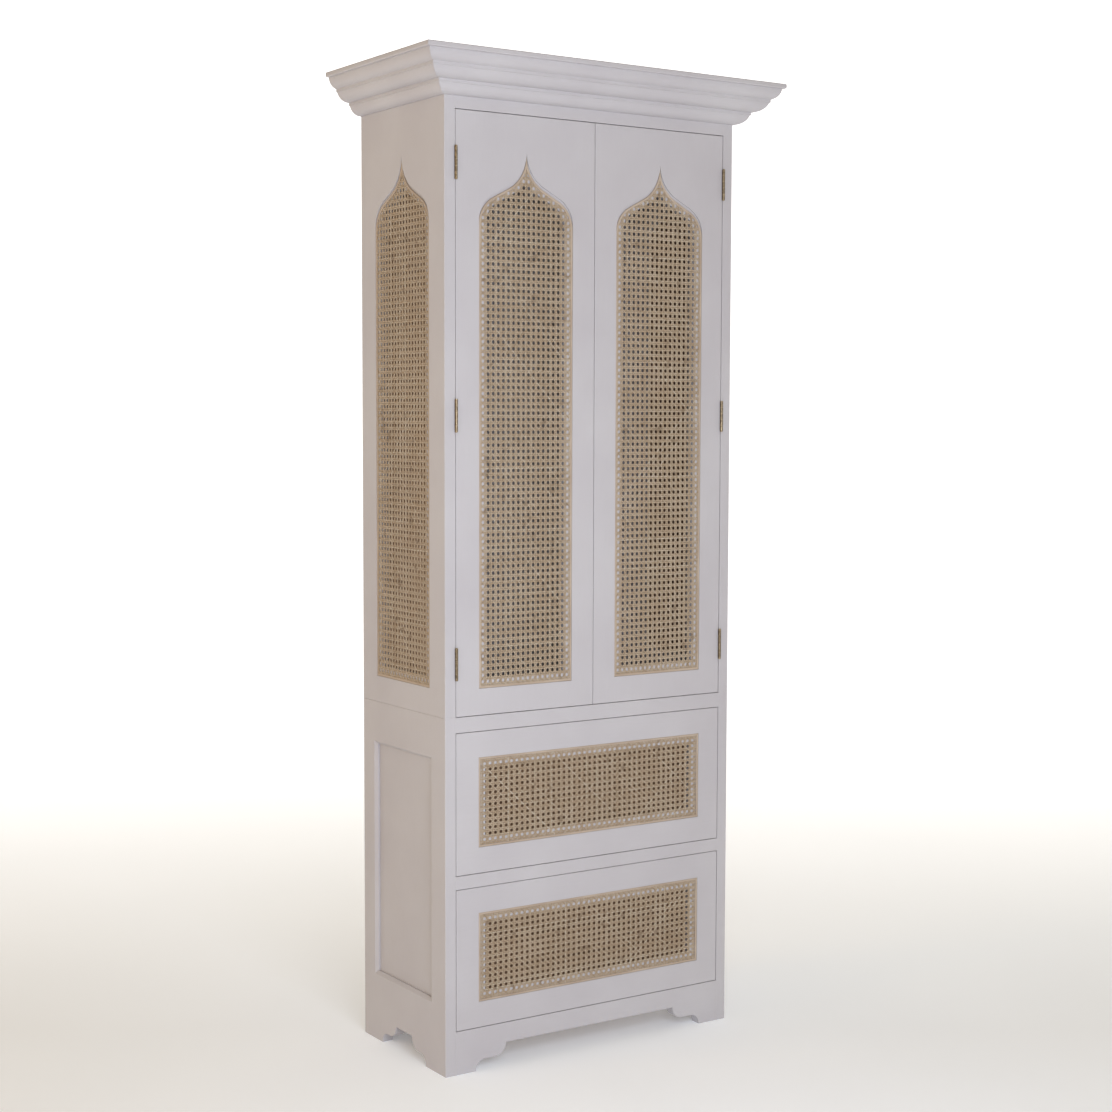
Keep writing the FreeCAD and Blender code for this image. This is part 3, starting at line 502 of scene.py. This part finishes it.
def placed_mesh(name, local, faces, origin, across, material):
    """A mesh of quads placed in the panel: across is the panel's own horizontal, +Z its upright, and
    out is their cross product."""
    upright = np.array([0.0, 0.0, 1.0])
    out = np.cross(across, upright)
    placed = origin + local[:, :1] * across + local[:, 1:2] * upright + local[:, 2:] * out
    mesh = bpy.data.meshes.new(name)
    mesh.vertices.add(len(placed))
    mesh.vertices.foreach_set("co", placed.astype(np.float32).ravel())
    mesh.loops.add(faces.size)
    mesh.loops.foreach_set("vertex_index", faces.astype(np.int32).ravel())
    mesh.polygons.add(len(faces))
    mesh.polygons.foreach_set("loop_start", np.arange(0, faces.size, 4, dtype=np.int32))
    mesh.update(calc_edges=True)
    mesh.materials.append(material)
    return mesh


def hang(mesh, body):
    """The mesh as a piece of cane that moves with the body."""
    piece = bpy.data.objects.new(mesh.name, mesh)
    bpy.context.scene.collection.objects.link(piece)
    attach(piece, body)
    return piece


def strand_mesh(name, layers, origin, across, seed):
    """All strands of some layers as one mesh. Each line of cane gets one tone of its own from 0, dark,
    to 1, light, most of them near the middle."""
    generator = np.random.default_rng(seed)
    points, quads, tones = [], [], []
    start = 0
    for layer_points, layer_quads, rows in layers:
        points.append(layer_points)
        quads.append(layer_quads + start)
        tones.append(generator.beta(2.0, 2.2, rows.max() + 1)[rows])
        start += len(layer_points)
    mesh = placed_mesh(name, np.concatenate(points), np.concatenate(quads), origin, across, CANE)
    tone = mesh.attributes.new("tone", "FLOAT", "POINT")
    tone.data.foreach_set("value", np.concatenate(tones).astype(np.float32))
    return mesh


def panel(node, body, across, arched, pitch, seed):
    """Webbing for one cane panel, cut to the outline of the sheet that the solid model holds."""
    low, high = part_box(node)
    centre = (low + high) / 2
    across = np.array(across, float)
    half = abs((high - low).dot(Vector(across))) / 2
    level = (low.z + high.z) / 2
    origin = np.array([centre.x, centre.y, 0.0])

    def inside(u, v):
        width = arch_width(v, half, high.z) if arched else np.where(v <= high.z, half, -1.0)
        return (np.abs(u) <= width) & (v >= low.z)

    square, slanted = weave((2 * half, high.z - low.z), inside, pitch, level)
    webbing = hang(strand_mesh(node.replace("cane", "webbing"), square, origin, across, seed), body)
    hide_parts(node)
    hang(strand_mesh(node.replace("cane", "diagonals"), slanted, origin, across, seed + 1), body)
    outline = arch_outline if arched else square_outline
    loops = [outline(half, low.z, high.z, inset) for inset in np.linspace(0, REED_WIDTH, REED_RINGS)]
    points, quads = reed_edge(loops)
    hang(placed_mesh(node.replace("cane", "reed"), points, quads, origin, across, REED), body)


def all_panels():
    """Webbing for the doors and sides, whose roll runs upright, and for the drawers, where it lies on
    its side. Each panel has its own seed for its tones."""
    upright = (CROSS_PITCH, ROLL_PITCH)
    turned = (ROLL_PITCH, CROSS_PITCH)
    for number, side in enumerate(("left", "right")):
        panel(f"door_cane_{side}", f"door_{side}", (1, 0, 0), True, upright, 10 + 2 * number)
        panel(f"side_cane_{side}", "case", (0, (-1, 1)[number], 0), True, upright, 20 + 2 * number)
    for number, place in enumerate(("upper", "lower")):
        panel(f"drawer_cane_{place}", f"drawer_{place}", (1, 0, 0), False, turned, 30 + 2 * number)


# ---------------------------------------------------------------- studio

def studio_floor():
    """Round seamless floor: flat to 7 m, then a quarter circle up to a 5 m rim. Rings times spokes."""
    flat, curve = 7.0, 5.0
    turn = np.linspace(0, math.pi / 2, 24)
    radius = np.concatenate([[0.01, 1, 2.5, 5], flat + curve * np.sin(turn)])
    height = np.concatenate([[0, 0, 0, 0], curve * (1 - np.cos(turn))])
    spokes = np.linspace(0, 2 * math.pi, 96, endpoint=False)
    points = np.stack([radius[:, None] * np.cos(spokes), radius[:, None] * np.sin(spokes),
                       np.repeat(height[:, None], len(spokes), axis=1)], axis=2).reshape(-1, 3)
    ring, spoke = np.meshgrid(np.arange(len(radius) - 1), np.arange(len(spokes)), indexing="ij")
    first = ring * len(spokes) + spoke
    second = ring * len(spokes) + (spoke + 1) % len(spokes)
    faces = np.stack([first, first + len(spokes), second + len(spokes), second], axis=2).reshape(-1, 4)
    mesh = bpy.data.meshes.new("studio_floor")
    mesh.from_pydata(points.tolist(), [], faces.tolist() + [list(range(len(spokes)))])
    mesh.shade_smooth()
    mesh.materials.append(studio_paper("studio_paper"))
    floor = bpy.data.objects.new("studio_floor", mesh)
    bpy.context.scene.collection.objects.link(floor)


def soft_light(name, position, target, size, power, code):
    """A square softbox aimed at a point: places and size in metres, power in watts."""
    data = bpy.data.lights.new(name, "AREA")
    data.shape = "SQUARE"
    data.size = size
    data.energy = power
    data.color = linear(code)[:3]
    light = bpy.data.objects.new(name, data)
    light.location = position
    light.visible_camera = False
    light.rotation_mode = "QUATERNION"
    light.rotation_quaternion = (Vector(target) - Vector(position)).to_track_quat("-Z", "Y")
    bpy.context.scene.collection.objects.link(light)


def studio_lights():
    """Dim warm surroundings, a cool softbox close to the front and a warm one far to the left."""
    world = bpy.data.worlds.new("studio")
    world.use_nodes = True
    surroundings = world.node_tree.nodes["Background"].inputs
    surroundings["Color"].default_value = linear("#ffeed0")
    surroundings["Strength"].default_value = 0.37
    bpy.context.scene.world = world
    soft_light("front_softbox", (-1.0, -2.4, 1.3), (0, 0, 1.1), 1.3, 41, "#edf3ff")
    soft_light("left_softbox", (-5.0, 0.6, 2.2), (0, 0, 1.1), 2.2, 34, "#ffc146")


def camera_on_stand():
    """Camera in front and to the left, level with the door panels, turned right by the yaw and a little
    down by the pitch."""
    stand = (-2.2231, -3.3666, 1.3078)
    yaw, pitch, roll = math.radians(33.366), math.radians(-4.169), math.radians(0.154)
    ahead = Vector((math.sin(yaw) * math.cos(pitch), math.cos(yaw) * math.cos(pitch), math.sin(pitch)))
    right = Vector((math.cos(yaw), -math.sin(yaw), 0))
    up = right.cross(ahead)
    turned_right = math.cos(roll) * right + math.sin(roll) * up
    turned_up = math.cos(roll) * up - math.sin(roll) * right
    data = bpy.data.cameras.new("camera")
    data.sensor_width = 36.0
    data.lens = 62.49
    camera = bpy.data.objects.new("camera", data)
    turn = Matrix((turned_right, turned_up, -ahead)).transposed()
    camera.matrix_world = Matrix.Translation(stand) @ turn.to_4x4()
    bpy.context.scene.collection.objects.link(camera)
    bpy.context.scene.camera = camera


dress_frame()
all_panels()
studio_floor()
studio_lights()
camera_on_stand()
bpy.context.scene.view_settings.view_transform = "Standard"
